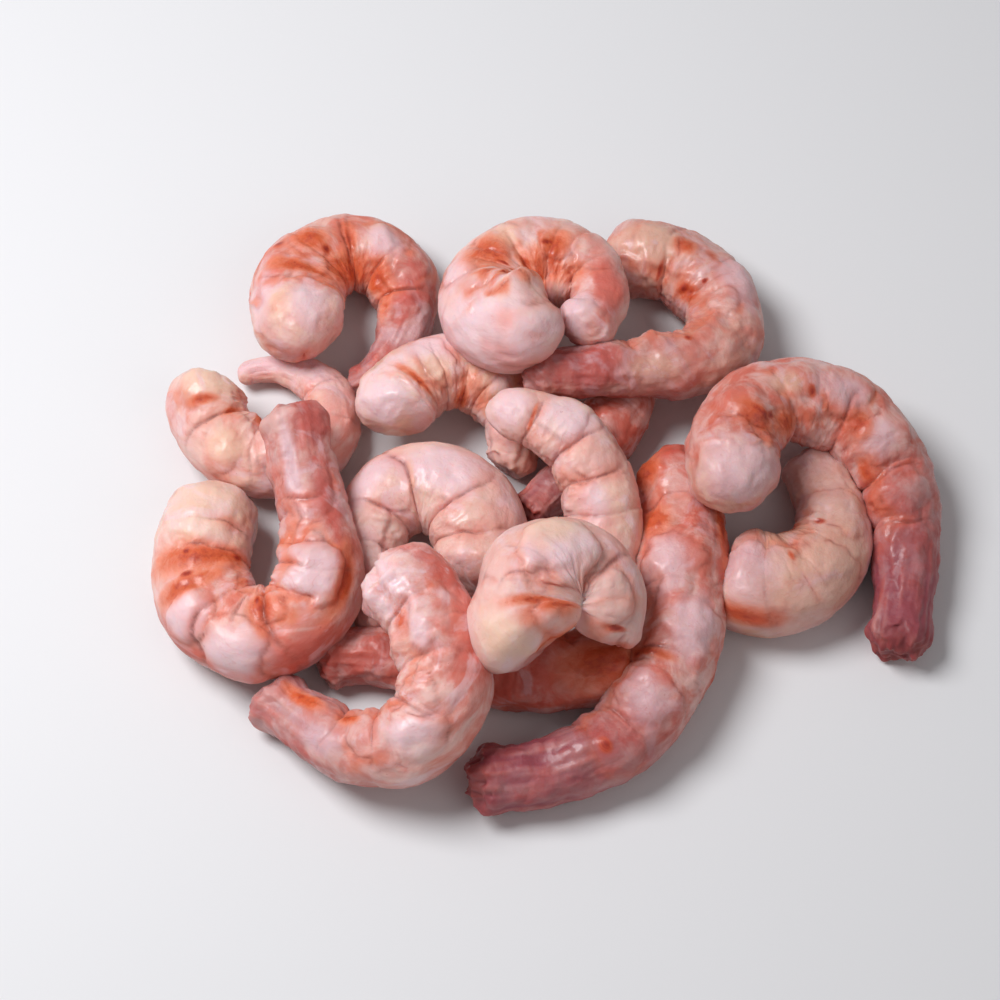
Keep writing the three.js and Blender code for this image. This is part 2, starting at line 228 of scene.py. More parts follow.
# Full places that close a curl or dent an outline: share, degrees, how far they reach and how high they
# stand, in mm.
BULGES = {
    "shrimp_right_inner": ((0.05, 165, 4.5, 1.6), (0.03, 190, 5.0, 1.8)),
    "shrimp_left_ring": ((0.95, 90, 4.0, -0.8),),
    "shrimp_back_left": (
        (0.0, 0, 4.5, 2.0), (0.1, 165, 4.5, 1.4), (0.22, 175, 4.5, 1.2), (0.72, 170, 5.0, 0.9)),
    "shrimp_centre_back": ((0.72, 0, 6.0, 0.8),),
    "shrimp_centre_top": ((0.27, 10, 5.0, -1.8), (0.1, 170, 3.5, 1.6), (0.9, 165, 3.5, 1.4)),
    "shrimp_back_centre": ((0.0, 0, 4.5, 2.8), (0.98, 180, 3.5, 1.2)),
}

# Pillows of flesh between the folds: share, degrees, half sizes along and round the body and height in mm,
# how pale they are and how much orange shows round them.
LOBES = {
    "shrimp_right_inner": (
        (0.1, 90, 6.4, 6.4, 0.25, 0.6, 0.0), (0.364, 62, 5, 5, 0.4, 0.4, 0.1),
        (0.62, 80, 4.5, 5, 0.3, 0.2, 0.1)),
    "shrimp_left_ring": (
        (0.06, 105, 4, 5, 0.3, 0.4, 0.1), (0.27, 55, 3.6, 4, 0.6, 0.3, 0.2), (0.4, 95, 3, 4, 0.5, 0.3, 0.2)),
    "shrimp_back_left": (
        (0.03, 110, 5.5, 5.5, 0.6, 0.4, 0.2), (0.31, 83, 3, 3.6, 0.5, 0.0, 0.5),
        (0.52, 87, 3.6, 4.6, 0.6, 0.5, 0.4), (0.2, 60, 4, 3.4, 0.5, 0.2, 0.4),
        (0.61, 70, 3.4, 4, 0.5, 0.2, 0.4)),
    "shrimp_left_inner": (
        (0.03, 80, 5, 5.4, 0.5, 0.6, 0.3), (0.323, 100, 2.8, 5, 0.6, 0.5, 0.3),
        (0.62, 83, 2.8, 5, 0.5, 0.4, 0.3)),
    "shrimp_front_long": (
        (0.1, 100, 5, 4.5, 0.4, 0.1, 0.4), (0.33, 105, 5, 4.6, 0.7, 0.5, 0.2),
        (0.29, 62, 5, 4, 0.5, 0.2, 0.1), (0.45, 66, 4.6, 5, 0.7, 0.5, 0.2),
        (0.61, 84, 3.8, 5.6, 0.8, 0.6, 0.2), (0.71, 60, 3.4, 3.6, 0.5, 0.2, 0.2)),
    "shrimp_back_right": (
        (0.12, 95, 4, 5.4, 0.5, 0.4, 0.3), (0.344, 62, 4.4, 4, 0.6, 0.3, 0.1),
        (0.46, 55, 4, 4, 0.6, 0.2, 0.1), (0.24, 105, 3.4, 4, 0.5, 0.2, 0.5),
        (0.43, 105, 3.6, 3, 0.5, 0.1, 0.4)),
    "shrimp_centre_back": (
        (0.95, 110, 4, 6, 0.5, 0.6, 0.1), (0.72, 92, 4.4, 6, 0.5, 0.3, 0.1),
        (0.55, 92, 3.4, 6, 0.4, 0.2, 0.1), (0.4, 90, 3.4, 6, 0.4, 0.2, 0.1)),
    "shrimp_front_left": (
        (0.22, 100, 4.4, 3.4, 0.6, 0.3, 0.3), (0.3, 66, 5, 4.4, 0.5, 0.1, 0.2),
        (0.513, 76, 4.6, 4.4, 0.8, 0.6, 0.2), (0.43, 110, 3.4, 3.4, 0.6, 0.2, 0.3),
        (0.62, 92, 3.4, 4, 0.5, 0.3, 0.4), (0.74, 60, 4, 4, 0.4, 0.2, 0.2)),
    "shrimp_centre_top": (
        (0.06, 70, 6, 6.4, 0.5, 0.5, 0.0), (0.49, 104, 5.6, 5.2, 1.6, 1.0, 0.1),
        (0.823, 108, 4, 4.4, 1.4, 0.3, 0.3), (0.07, 140, 2.2, 2.4, 1.2, 0.0, 0.5),
        (0.3, 80, 3, 4, 0.5, 0.2, 0.2), (0.96, 120, 3, 4, 1.2, 0.2, 0.4)),
    "shrimp_left_hook": (
        (0.08, 95, 7.4, 7.4, 0.4, 0.8, 0.2), (0.605, 108, 5.4, 5.4, 1.6, 0.9, 0.5),
        (0.323, 55, 4.2, 4.6, 1.1, 0.7, 0.3), (0.401, 42, 5.2, 5.2, 1.3, 0.6, 0.3),
        (0.47, 100, 2.6, 2.6, 0.6, 0.0, 0.8), (0.78, 92, 5, 4.4, 0.4, 0.3, 0.2)),
    "shrimp_back_centre": (
        (0.12, 66, 8, 8, 0.4, 0.7, 0.2), (0.012, 105, 3.2, 4.6, 1.5, 0.4, 0.15),
        (0.02, 48, 2.6, 2.4, 1.1, 0.7, 0.1), (0.67, 178, 3.0, 3.2, 1.6, 0.5, 0.4),
        (0.306, 52, 4, 3.6, 0.7, 0.6, 0.2), (0.608, 88, 2.8, 3.2, 0.5, 0.0, 0.9),
        (0.72, 62, 3.8, 4, 0.7, 0.2, 0.3), (0.43, 70, 3.4, 4, 0.6, 0.2, 0.5),
        (0.97, 120, 3.4, 3.4, 0.7, 0.8, 0.2), (0.15, 118, 3, 3, 0.9, 0.1, 0.7),
        (0.1, 155, 3, 3, 0.9, 0.3, 0.6), (0.22, 92, 2.6, 3, 0.6, 0.1, 0.5)),
    "shrimp_right_arch": (
        (0.03, 100, 6, 6.4, 0.5, 0.6, 0.3), (0.434, 80, 4, 4.4, 0.7, 0.4, 0.5),
        (0.54, 93, 3.8, 5, 0.7, 0.3, 0.3), (0.335, 88, 3.8, 4, 0.6, 0.2, 0.4),
        (0.672, 90, 3.2, 5.4, 0.6, 0.1, 0.2), (0.2, 80, 4, 4.4, 0.5, 0.1, 0.3)),
}
OVERHANG = 0.6              # how far a lobe's edge moves outwards, against its height
LOBE_SQUARENESS = 2.5       # power of the oval that a lobe fills: 2 is a plain oval, more is squarer
DIMPLE_DEPTH = 2.6          # how far the middle of a closed curl lies below its top, in mm
DIMPLE_RISE = 0.045         # how fast it rises to the sides, in mm for the square of the distance in mm
UNDER_SKIN = 0.1            # how far under an upper shrimp's skin the lower one's is pressed, in mm
OVER_TABLE = 0.02
PATTERN_STEP = 0.31         # how far apart in the noise two shrimps' patterns are taken, in m
ON_TABLE = 9                # how many shrimps lie on the table


# Shape of one shrimp

def lumps(points, size, seed):
    """Smooth noise from -1 to 1 at points (n, 3), with lumps about size across."""
    cells = np.random.default_rng(seed).uniform(-1, 1, (32, 32, 32))
    scaled = points / size + 100.0
    low = np.floor(scaled).astype(int)
    part = scaled - low
    part = part * part * part * (part * (part * 6 - 15) + 10)
    total = np.zeros(len(points))
    for corner in np.ndindex(2, 2, 2):
        weight = np.prod(np.where(np.array(corner), part, 1 - part), axis=1)
        cell = (low + corner) % 32
        total += weight * cells[cell[:, 0], cell[:, 1], cell[:, 2]]
    return total


def through(values, share):
    """Smooth curve through four evenly spaced values, straight beyond its ends."""
    a, b, c, d = values
    knots = np.array([2 * a - b, a, b, c, d, 2 * d - c])
    i = np.minimum((share * 3).astype(int), 2)
    u = share * 3 - i
    p0, p1, p2, p3 = knots[i], knots[i + 1], knots[i + 2], knots[i + 3]
    bow = 2 * p0 - 5 * p1 + 4 * p2 - p3 + u * (3 * (p1 - p2) + p3 - p0)
    return p1 + 0.5 * u * (p2 - p0 + u * bow)


def spine(shrimp):
    """Stations, points and headings down the middle of a shrimp, which keeps its whole length."""
    share = np.linspace(0, 1, SPINE_STEPS + 1)
    middles = (share[1:] + share[:-1]) / 2
    turning = np.interp(middles, np.linspace(0, 1, 5), shrimp["bend"]) / SPINE_STEPS
    heading = np.radians(shrimp["heading"] + np.concatenate([[0], np.cumsum(turning)]))
    z = through(shrimp["rise"], share)
    step = shrimp["length"] / SPINE_STEPS
    level = np.sqrt(np.maximum(step**2 - np.diff(z)**2, (STEEPEST * step)**2))
    along = (heading[1:] + heading[:-1]) / 2
    x = shrimp["head"][0] + np.concatenate([[0], np.cumsum(level * np.cos(along))])
    y = shrimp["head"][1] + np.concatenate([[0], np.cumsum(level * np.sin(along))])
    return share, np.stack([x, y, z], axis=1) - HEAP_CENTRE, heading


def thickness(t, shrimp):
    """Half thickness at t, as a share of half the girth: rounded head end, long taper, flared stump."""
    neck = shrimp.get("neck", TYPICAL_NECK)
    knots = ([0, 0.1, 0.25, 0.4, 0.6, 0.74, 0.86, 1],
             [neck, 0.5 + 0.53 * neck, 1.02, 0.98, 0.88, 0.74, 0.64, 0.58])
    spread = np.linspace(-0.04, 0.04, 9)
    body = np.mean([np.interp(t + shift, *knots) for shift in spread], axis=0)
    head = np.sqrt(1 - (1 - np.clip(t / HEAD_ROUNDING, 0, 1))**2)
    tail = np.sqrt(1 - (1 - np.clip((1 - t) / shrimp.get("tip", TAIL_ROUNDING), 0, 1))**2)
    flare = 1 + STUMP_FLARE * min(1.0, 2 * shrimp["torn"]) * np.exp(-((t - STUMP_AT) / 0.025)**2)
    build = 1 + (shrimp.get("stump", 1.0) - 1) * np.clip((t - STUMP_FROM) / (STUMP_FULL - STUMP_FROM), 0, 1)
    return body * head * tail * flare * build


def stations(count):
    """Shares of the length where rings stand, closer together where the two ends round off."""
    ends = 14
    arc = np.linspace(0.04, math.pi / 2, ends)
    head = HEAD_ROUNDING * (1 - np.cos(arc))
    tail = 1 - TAIL_ROUNDING * (1 - np.cos(arc[::-1]))
    return np.concatenate([head[:-1], np.linspace(head[-1], tail[0], count - 2 * ends + 2), tail[1:]])


def bell(distance, width):
    return np.exp(-(distance / width)**2)


def rise_over(value, low, high):
    """From 0 at low to 1 at high, with soft ends."""
    part = np.clip((value - low) / (high - low), 0, 1)
    return part * part * (3 - 2 * part)


class Surface:
    """The surface of one shrimp as a grid of rings, with what its relief and masks are worked out from."""

    def __init__(self, name, settings):
        shrimp = SHRIMPS[name]
        self.name, self.shrimp = name, shrimp
        self.seed = 100 * NAMES.index(name)
        self.draw = np.random.default_rng(self.seed + 7)
        self.length, self.girth = shrimp["length"], shrimp["girth"]
        self.curl = np.sign(sum(shrimp["bend"]))
        self.joints = shrimp.get("joints", SEGMENT_ENDS)
        share, points, heading = spine(shrimp)
        t = stations(settings.rings)
        angle = np.linspace(0, 2 * math.pi, settings.sides, endpoint=False)
        tangents = np.gradient(points, axis=0)
        self.middle = np.stack([np.interp(t, share, points[:, i]) for i in range(3)], axis=1)[:, None]
        tangent = np.stack([np.interp(t, share, tangents[:, i]) for i in range(3)], axis=1)
        self.tangent = (tangent / np.linalg.norm(tangent, axis=1)[:, None])[:, None]
        turn = np.interp(t, share, heading)
        back = self.curl * np.stack([np.sin(turn), -np.cos(turn), 0 * turn], axis=1)[:, None]
        up = -self.curl * np.cross(self.tangent, back)
        half = thickness(t, shrimp) * self.girth / 2
        self.half = half[:, None]
        self.t, self.angle = np.meshgrid(t, angle, indexing="ij")
        self.belly = (1 - np.cos(self.angle)) / 2       # 0 on the back, 1 on the belly
        self.body = 1 - rise_over(self.t, 0.7, 0.85)    # 0 in the tail
        self.tail = rise_over(self.t, 0.66, 0.88) * shrimp.get("fibres", 1.0)
        bare = 1 - rise_over(self.t, 0.8 * shrimp["dome"], 1.3 * shrimp["dome"] + 0.01)
        self.wrinkled = 1 - 0.8 * bare * bool(shrimp["dome"])
        towards_back = self.half * BACK_REACH * np.cos(self.angle)
        upwards = self.half * SIDE_REACH * np.sin(self.angle)
        self.base = self.middle + towards_back[..., None] * back + upwards[..., None] * up
        round_body = np.gradient(self.base, axis=0)
        steps = np.gradient(t)[:, None] * self.length
        self.room = np.clip((round_body * self.tangent).sum(axis=-1) / steps, 0, 1)   # 0 where squeezed
        along_ring = np.roll(self.base, -1, axis=1) - np.roll(self.base, 1, axis=1)
        normal = np.cross(round_body, along_ring)
        normal *= np.sign(np.sum(normal * (self.base - self.middle)))
        self.normal = normal / (np.linalg.norm(normal, axis=-1, keepdims=True) + 1e-9)
        self.from_back = np.minimum(self.angle, 2 * math.pi - self.angle)   # the same on both sides
        self.from_belly = (self.angle - math.pi) * self.half
        self.straight = np.stack([self.half * np.cos(self.angle), self.half * np.sin(self.angle),
                                  self.t * self.length], axis=-1)   # the shrimp as if it weren't curled

    def noise(self, size, offset, stretch=1.0):
        """Lumps about size mm across, and stretch times as long, fixed to the body."""
        place = self.straight / (1.0, 1.0, stretch)
        return lumps(place.reshape(-1, 3), size, self.seed + offset).reshape(self.t.shape)

    def patch(self, away, degrees, along, around):
        """From 0 to 1 inside a soft-edged patch, for points that are away in mm along the body."""
        turn = np.angle(np.exp(1j * (self.angle - math.radians(degrees)))) * self.girth / 2
        return bell(away, along) * bell(turn, around)

    def here_and_there(self, size, offset):
        """From 0 to 1 in some places, size mm across, and 0 in most."""
        return np.clip(0.4 + 1.2 * self.noise(size, offset), 0, 1)

    def place(self, share, degrees):
        """The ring and the side of the point at this share and angle."""
        return np.abs(self.t[:, 0] - share).argmin(), round(degrees / 360 * self.t.shape[1]) % self.t.shape[1]

    def near(self, share, degrees, reach):
        """From 0 to 1 close to the place on the skin at this share and angle."""
        return bell(np.linalg.norm(self.base - self.base[self.place(share, degrees)], axis=-1), reach)


def segments(surface):
    """Rank, shifted share and height of the segment that each point is in, with a valley between two."""
    edges = np.array([0.0, *surface.joints, TAIL_START])
    shift = 0.012 * np.cos(2 * surface.angle) + 0.014 * surface.noise(4.5, 11)
    t = surface.t - shift
    rank = np.clip(np.searchsorted(edges, t, side="right") - 1, 0, len(edges) - 2)
    within = np.clip((t - edges[rank]) / (edges[rank + 1] - edges[rank]), 0, 1)
    lobe = np.sin(math.pi * within)**0.6
    lobe = np.where((rank == 0) & (within < 0.5), 1.0, lobe)   # the head end rounds off by itself
    return rank, t, np.where(t > TAIL_START, 0, lobe)


def mark(masks, kind, value):
    """Keeps the stronger of what a mask says and a new value."""
    masks[kind] = np.maximum(masks[kind], value)


def segment_lobes(surface, rank, lobe, mood, lobe_height):
    """Relief of the segments: flat on the back, full on the belly, no two alike."""
    full = surface.draw.uniform(0.5, 1.3, 6)[rank] * (1 + 0.5 * mood) * surface.shrimp.get("lobes", 1.0)
    height = 0.05 + 0.2 * np.sin(surface.angle)**2 + lobe_height * surface.belly**2
    return (lobe - 0.7) * full * height * (0.25 + 0.75 * surface.body)


def segment_folds(surface, shifted, masks):
    """Folds between segments: a fine line and a low step, clear in some places and gone in others."""
    relief = np.zeros(surface.t.shape)
    for i, end in enumerate(surface.joints):
        away = (shifted - end) * surface.length
        reach = surface.draw.uniform(0.6, 1.6)
        clear = np.clip(0.05 + 0.9 * surface.belly**reach + 0.8 * surface.noise(3.4, 20 + i), 0, 1.1)
        clear *= surface.shrimp["folds"]
        mark(masks, "line", bell(away, LINE_WIDTH) * clear)
        mark(masks, "crease", bell(away, CREASE_WIDTH) * clear)
        step = np.where(away < 0, np.clip(1 + away / 1.4, 0, 1), 0)
        step *= np.clip(0.5 + surface.noise(5.0, 30 + i), 0, 1)
        relief += 0.2 * step * (1 - 0.7 * surface.belly) * surface.body
    return relief


def flank_edges(surface, lobe, mood, masks):
    """The lower edge of each segment's flank stands a little proud of the wrinkled belly."""
    below = (surface.from_back - FLANK_EDGE - 0.24 * lobe - 0.2 * mood) * surface.half
    shows = surface.body * surface.wrinkled
    broken = np.clip(0.1 + 1.3 * surface.noise(2.4, 12), 0, 1)
    mark(masks, "line", 0.7 * bell(below, 0.3) * broken * shows * surface.room)
    masks["hem"] = bell(below - 0.8, 1.7) * shows
    proud = bell(below + 0.5, 0.6) * np.clip(0.6 + surface.noise(3.0, 33), 0, 1)
    return (0.16 * proud - 0.3 * rise_over(below, -0.2, 0.5)) * shows


def wrinkled_belly(surface):
    """The belly has a furrow down its middle, a pair of nubs on each segment and cross wrinkles."""
    draw = surface.draw
    relief = -0.35 * bell(surface.from_belly, 0.9) * surface.body
    edges = np.array([0.0, *surface.joints])
    for centre in (edges[1:] + edges[:-1]) / 2:
        for side in (-1, 1):
            ahead = (surface.t - centre) * surface.length + draw.uniform(-0.8, 0.8)
            away = np.hypot(ahead, surface.from_belly - side * NUBS_APART)
            height = draw.uniform(0.25, 0.8) * surface.shrimp.get("lobes", 1.0)
            relief += height * bell(away, draw.uniform(1.1, 1.8))
    crumpled = 1 - 2.4 * np.abs(surface.noise(1.5, 13))
    crumpled *= rise_over(surface.from_back, 1.3, 2.4) * (0.6 + 0.4 * surface.noise(3.5, 14))
    return (relief + 0.26 * crumpled * surface.body) * surface.wrinkled


def uneven_flesh(surface, unevenness, masks):
    """Lumps and soft puckers, and fibres that run lengthwise and show most in the tail."""
    lumpy = surface.noise(5.5, 5) + 0.6 * surface.noise(2.6, 6) + 0.34 * surface.noise(1.4, 9)
    puckers = np.clip(1 - 2 * np.abs(surface.noise(3.6, 34)), 0, 1)**3
    lumpy += 0.16 * surface.noise(0.75, 8) - 0.3 * puckers
    fibres = surface.noise(0.95, 3, 9.0)
    strands = surface.noise(0.5, 4, 7.0) * surface.tail
    masks["fibre"] = fibres * (0.1 + 0.9 * surface.tail) + 0.6 * strands
    lumpy *= unevenness * surface.shrimp.get("uneven", 1.0)
    return lumpy + fibres * (0.04 + 0.12 * surface.tail) + 0.06 * strands


def head_end(surface, masks):
    """The bare head end is a pale dome, and the outer layer ends round it in a ragged lip."""
    edge = surface.shrimp["dome"] + 0.035 * surface.noise(4.0, 15) + 0.016 * surface.noise(1.3, 16)
    past = (surface.t - edge) * surface.length
    ragged = np.clip(0.4 + 1.1 * surface.noise(2.8, 35), 0, 1)
    masks["lip"] = bell(past - 0.5, 0.7) * ragged
    masks["bare"] = 1 - rise_over(past, -1.6, 0.9)
    return 0.3 * masks["lip"] - 0.2 * (1 - rise_over(past, -0.4, 0.3)) * ragged


def torn_stump(surface):
    """How far the stump's bundle of torn fibres stands out, and how far its rim reaches."""
    rim = rise_over(surface.t, 0.925, 0.985) * surface.shrimp["torn"]
    shreds = surface.noise(0.9, 17)
    bundles = surface.noise(1.9, 18, 4.0)
    proud = rim * (0.4 + 0.4 * bundles + 0.3 * shreds)
    return proud, rim * (0.6 * bundles + 0.5 * shreds + 0.7 * surface.noise(3.0, 36))


def mark_patches(surface, shifted, masks):
    """Marks the patches that stand out, and the slits that crease the flesh."""
    for kind, share, degrees, along, around in PATCHES.get(surface.name, ()):
        if kind == "slit":
            away = (shifted - share) * surface.length
            mark(masks, "line", surface.patch(away, degrees, along, around))
            mark(masks, "crease", surface.patch(away, degrees, SLIT_CREASE, around))
        else:
            away = (surface.t - share) * surface.length
            mark(masks, kind, surface.patch(away, degrees, along, around))


def skin(name, settings):
    """Points (rings, sides, 3) in mm of a shrimp's surface, and the masks that its colouring reads."""
    surface = Surface(name, settings)
    shrimp, t, belly = surface.shrimp, surface.t, surface.belly
    mood = surface.noise(6.0, 2)
    rank, shifted, lobe = segments(surface)
    masks = {key: np.zeros(t.shape) for key in MASKS}
    relief = segment_lobes(surface, rank, lobe, mood, settings.lobe_height)
    relief += segment_folds(surface, shifted, masks)
    relief += flank_edges(surface, lobe, mood, masks)
    relief += wrinkled_belly(surface)
    relief += uneven_flesh(surface, settings.unevenness, masks)
    if shrimp["dome"]:
        relief += head_end(surface, masks)
    proud, stretch = torn_stump(surface)
    relief += proud
    mark_patches(surface, shifted, masks)
    rags = 1 - 2.2 * np.abs(surface.noise(2.7, 19)) + 0.5 * surface.noise(1.2, 21)
    relief += masks["torn"] * (0.65 * rags + 0.4 * mood)
    relief -= settings.groove_depth * masks["line"]
    relief -= settings.pleat_depth * masks["crease"] * (0.3 + 0.7 * belly)

    # Squeezed flesh keeps little of its relief, and none where the curl closes over.
    kept = 0.0 if "cap" in shrimp else 0.25
    relief *= np.clip(2.2 * surface.half / surface.half.max(), 0, 1) * (kept + (1 - kept) * surface.room)
    relief += shrimp.get("fill", 0.0) * belly**3 * bell(t - 0.5, 0.35)
    for share, degrees, reach, height in BULGES.get(name, ()):
        relief += height * surface.near(share, degrees, reach)
    stretch += shrimp.get("reach", 0.0) * rise_over(t, 0.8, 1.0)
    stretch -= shrimp.get("tuck", 0.0) * rise_over(-t, -0.25, 0.0)
    stretch -= 0.6 * masks["torn"] * rags * bell(t, 0.08)
    shape = surface.base + relief[..., None] * surface.normal + stretch[..., None] * surface.tangent

    tints = surface.draw.uniform(-1, 1, len(surface.joints) + 1)
    masks["tint"] = tints[np.minimum(rank, len(tints) - 1)] * lobe
    # Painted shade: marks the underside, which the colouring darkens as shade.
    masks["under"] = rise_over(-np.sin(surface.angle), -0.3, 0.6)
    masks.update(along=t, belly=belly)
    shape = swell(surface, shape, masks)
    if "cap" in shrimp:
        shape = closed_over(surface, shape, shrimp["cap"])
    return shape, masks, surface.straight, surface.curl


def closed_over(surface, shape, reach):
    """Lifts the flesh round the middle of a tight curl, so that it closes over with a dimple."""
    rings = (surface.t[:, 0] > 0.2) & (surface.t[:, 0] < 0.8)
    sides = surface.t.shape[1]
    middle = surface.base[rings, sides // 2].mean(axis=0)
    dimple = surface.base[rings, sides // 4, 2].mean() - DIMPLE_DEPTH
    away = np.linalg.norm(shape[..., :2] - middle[:2], axis=-1)
    upper = rise_over(np.sin(surface.angle), -0.15, 0.0)
    lift = np.clip(dimple + DIMPLE_RISE * away**2 - shape[..., 2], 0, None) * bell(away, reach) * upper
    shape[..., 2] += lift
    return shape


def swell(surface, shape, masks):
    """Raises each lobe, with an edge that hangs over a little, and colours it and the fold round it."""
    for i, (share, degrees, along, around, height, pale, orange) in enumerate(LOBES.get(surface.name, ())):
        ring, side = surface.place(share, degrees)
        out = surface.normal[ring, side]
        forward = surface.tangent[ring, 0] - out * (surface.tangent[ring, 0] @ out)
        across = np.cross(out, forward)
        offset = surface.base - surface.base[ring, side]
        ahead, beside = offset @ forward, offset @ across
        away = np.abs(ahead / along)**LOBE_SQUARENESS + np.abs(beside / around)**LOBE_SQUARENESS
        away **= 1 / LOBE_SQUARENESS
        away /= 1 + 0.25 * surface.noise(3.4, 40 + i) + 0.1 * surface.noise(1.3, 60 + i)
        beyond = np.abs(surface.t - share) * surface.length / along
        facing = rise_over(surface.normal @ out, 0.0, 0.4) * (1 - rise_over(beyond, 1.5, 2.0))
        clear = np.clip(0.4 + 0.4 * height + 0.9 * surface.noise(3.0, 100 + i), 0.15, 1)
        inside = np.clip(1 - away**2, 0, 1) * facing
        shape = shape + (height * inside**(1.0 - 0.4 * clear) / 2)[..., None] * (surface.normal + out)
        apart = OVERHANG * height * np.sqrt(inside) * away * clear
        shape += (apart * ahead / along)[..., None] * forward + (apart * beside / around)[..., None] * across
        edge = (away - 1) * min(along, around)
        shows = facing * clear
        broken = surface.here_and_there(2.6, 80 + i)
        cloudy = np.clip(0.8 + 0.6 * surface.noise(2.6, 120 + i), 0, 1)
        mark(masks, "crease", 0.7 * shows * bell(edge, 0.9))
        mark(masks, "line", 0.7 * shows * bell(edge, 0.22) * broken)
        mark(masks, "orange", orange * shows * bell(edge - 0.4, 1.1))
        # A lobe's top is coloured pale: whiter flesh, and also a painted highlight.
        mark(masks, "pale", pale * facing * cloudy * rise_over(-edge, 0.0, 2.0))
    return shape


def pressed(shape, name):
    """Moves points that lie inside a later shrimp out to just under its skin, and none under the table."""
    flat = shape.reshape(-1, 3)
    for upper in NAMES[NAMES.index(name) + 1:]:
        share, points, _ = spine(SHRIMPS[upper])
        radius = thickness(share, SHRIMPS[upper]) * SHRIMPS[upper]["girth"] / 2
        low, high = points.min(0) - radius.max(), points.max(0) + radius.max()
        near = np.flatnonzero(((flat > low) & (flat < high)).all(axis=1))
        if not len(near):
            continue
        gaps = np.linalg.norm(flat[near, None] - points[None, ::3], axis=2)
        closest = gaps.argmin(axis=1) * 3
        distance = gaps.min(axis=1)
        wanted = radius[closest] * SIDE_REACH - UNDER_SKIN
        inside = distance < wanted
        centre = points[closest[inside]]
        outward = (flat[near[inside]] - centre) / distance[inside][:, None]
        flat[near[inside]] = centre + outward * wanted[inside][:, None]
    flat[:, 2] = np.maximum(flat[:, 2], OVER_TABLE)
    return flat.reshape(shape.shape)


def with_poles(grid):
    """The values of a grid of points as one list, with the means of its first and last rings at the end."""
    flat = grid.reshape(grid.shape[0] * grid.shape[1], -1)
    return np.vstack([flat, flat[:grid.shape[1]].mean(axis=0), flat[-grid.shape[1]:].mean(axis=0)])


def grid_faces(rings, sides, turned):
    """Faces of a closed grid of rings, with a pole at each end."""
    ring, side = np.meshgrid(np.arange(rings - 1), np.arange(sides), indexing="ij")
    corner = ring * sides + side
    beside = ring * sides + (side + 1) % sides
    quads = np.stack([corner, beside, beside + sides, corner + sides], axis=-1).reshape(-1, 4)
    around = np.arange(sides)
    after = (around + 1) % sides
    first, last, start = rings * sides, rings * sides + 1, (rings - 1) * sides
    caps = [(first, b, a) for a, b in zip(around.tolist(), after.tolist())]
    caps += [(last, start + a, start + b) for a, b in zip(around.tolist(), after.tolist())]
    faces = quads.tolist() + caps
    return [face[::-1] for face in faces] if turned else faces


def grid_mesh(name, shape, masks, straight, curl):
    """A closed mesh over a grid of points, with a point attribute for each mask."""
    mesh = bpy.data.meshes.new(name + "_flesh")
    mesh.from_pydata((with_poles(shape) * MM).tolist(), [], grid_faces(*shape.shape[:2], curl > 0))
    mesh.shade_smooth()
    for label in MASKS:
        attribute = mesh.attributes.new(label, "FLOAT", "POINT")
        attribute.data.foreach_set("value", with_poles(masks[label]).ravel().astype(np.float32))
    own_place = with_poles(straight) * MM + PATTERN_STEP * NAMES.index(name)
    attribute = mesh.attributes.new("straight", "FLOAT_VECTOR", "POINT")
    attribute.data.foreach_set("vector", own_place.ravel().astype(np.float32))
    return mesh


def make_shrimp(name, settings):
    """The finished flesh of one shrimp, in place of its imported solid."""
    shape, masks, straight, curl = skin(name, settings)
    mesh = grid_mesh(name, pressed(shape, name), masks, straight, curl)
    mesh.materials.append(flesh_material(name, settings))
    piece = bpy.data.objects.new(name + "_flesh", mesh)
    bpy.context.scene.collection.objects.link(piece)
    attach(piece, "root")
    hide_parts(name)
    return piece


# Materials

class Nodes:
    """Adds and links nodes in one tree."""

    def __init__(self, tree):
        self.tree = tree

    def add(self, kind, inputs=None, **values):
        node = self.tree.nodes.new(kind)
        for key, value in values.items():
            setattr(node, key, value)
        for key, value in (inputs or {}).items():
            self.put(node.inputs[key], value)
        return node

    def put(self, socket, value):
        if isinstance(value, bpy.types.NodeSocket):
            self.tree.links.new(value, socket)
        else:
            socket.default_value = value

    def mask(self, name):
        return self.add("ShaderNodeAttribute", attribute_type="GEOMETRY", attribute_name=name).outputs["Fac"]

    def body_place(self):
        """Where a point lies on the shrimp as if it weren't curled."""
        return self.add("ShaderNodeAttribute", attribute_type="GEOMETRY",
                        attribute_name="straight").outputs["Vector"]

    def math(self, operation, first, second=0.0, third=0.0, clamp=False):
        node = self.add("ShaderNodeMath", {0: first, 1: second, 2: third}, operation=operation)
        node.use_clamp = clamp
        return node.outputs[0]

    def ramp(self, value, low, high, to_low=0.0, to_high=1.0):
        node = self.add("ShaderNodeMapRange", {"Value": value, "From Min": low, "From Max": high,
                                               "To Min": to_low, "To Max": to_high})
        node.interpolation_type = "SMOOTHSTEP"
        return node.outputs["Result"]

    def mix(self, share, first, second):
        node = self.add("ShaderNodeMix", data_type="RGBA", clamp_factor=True)
        self.put(node.inputs[0], share)
        self.put(node.inputs[6], first)
        self.put(node.inputs[7], second)
        return node.outputs[2]

    def noise(self, place, scale, detail=2.0, rough=0.5, warp=0.0):
        node = self.add("ShaderNodeTexNoise", {"Vector": place, "Scale": scale, "Detail": detail,
                                               "Roughness": rough, "Distortion": warp})
        return node.outputs["Fac"]


def colour(red, green, blue):
    """A display colour from 0 to 255, as the linear values that nodes take."""
    values = np.array([red, green, blue]) / 255
    linear = np.where(values <= 0.04045, values / 12.92, ((values + 0.055) / 1.055)**2.4)
    return (*linear.tolist(), 1.0)


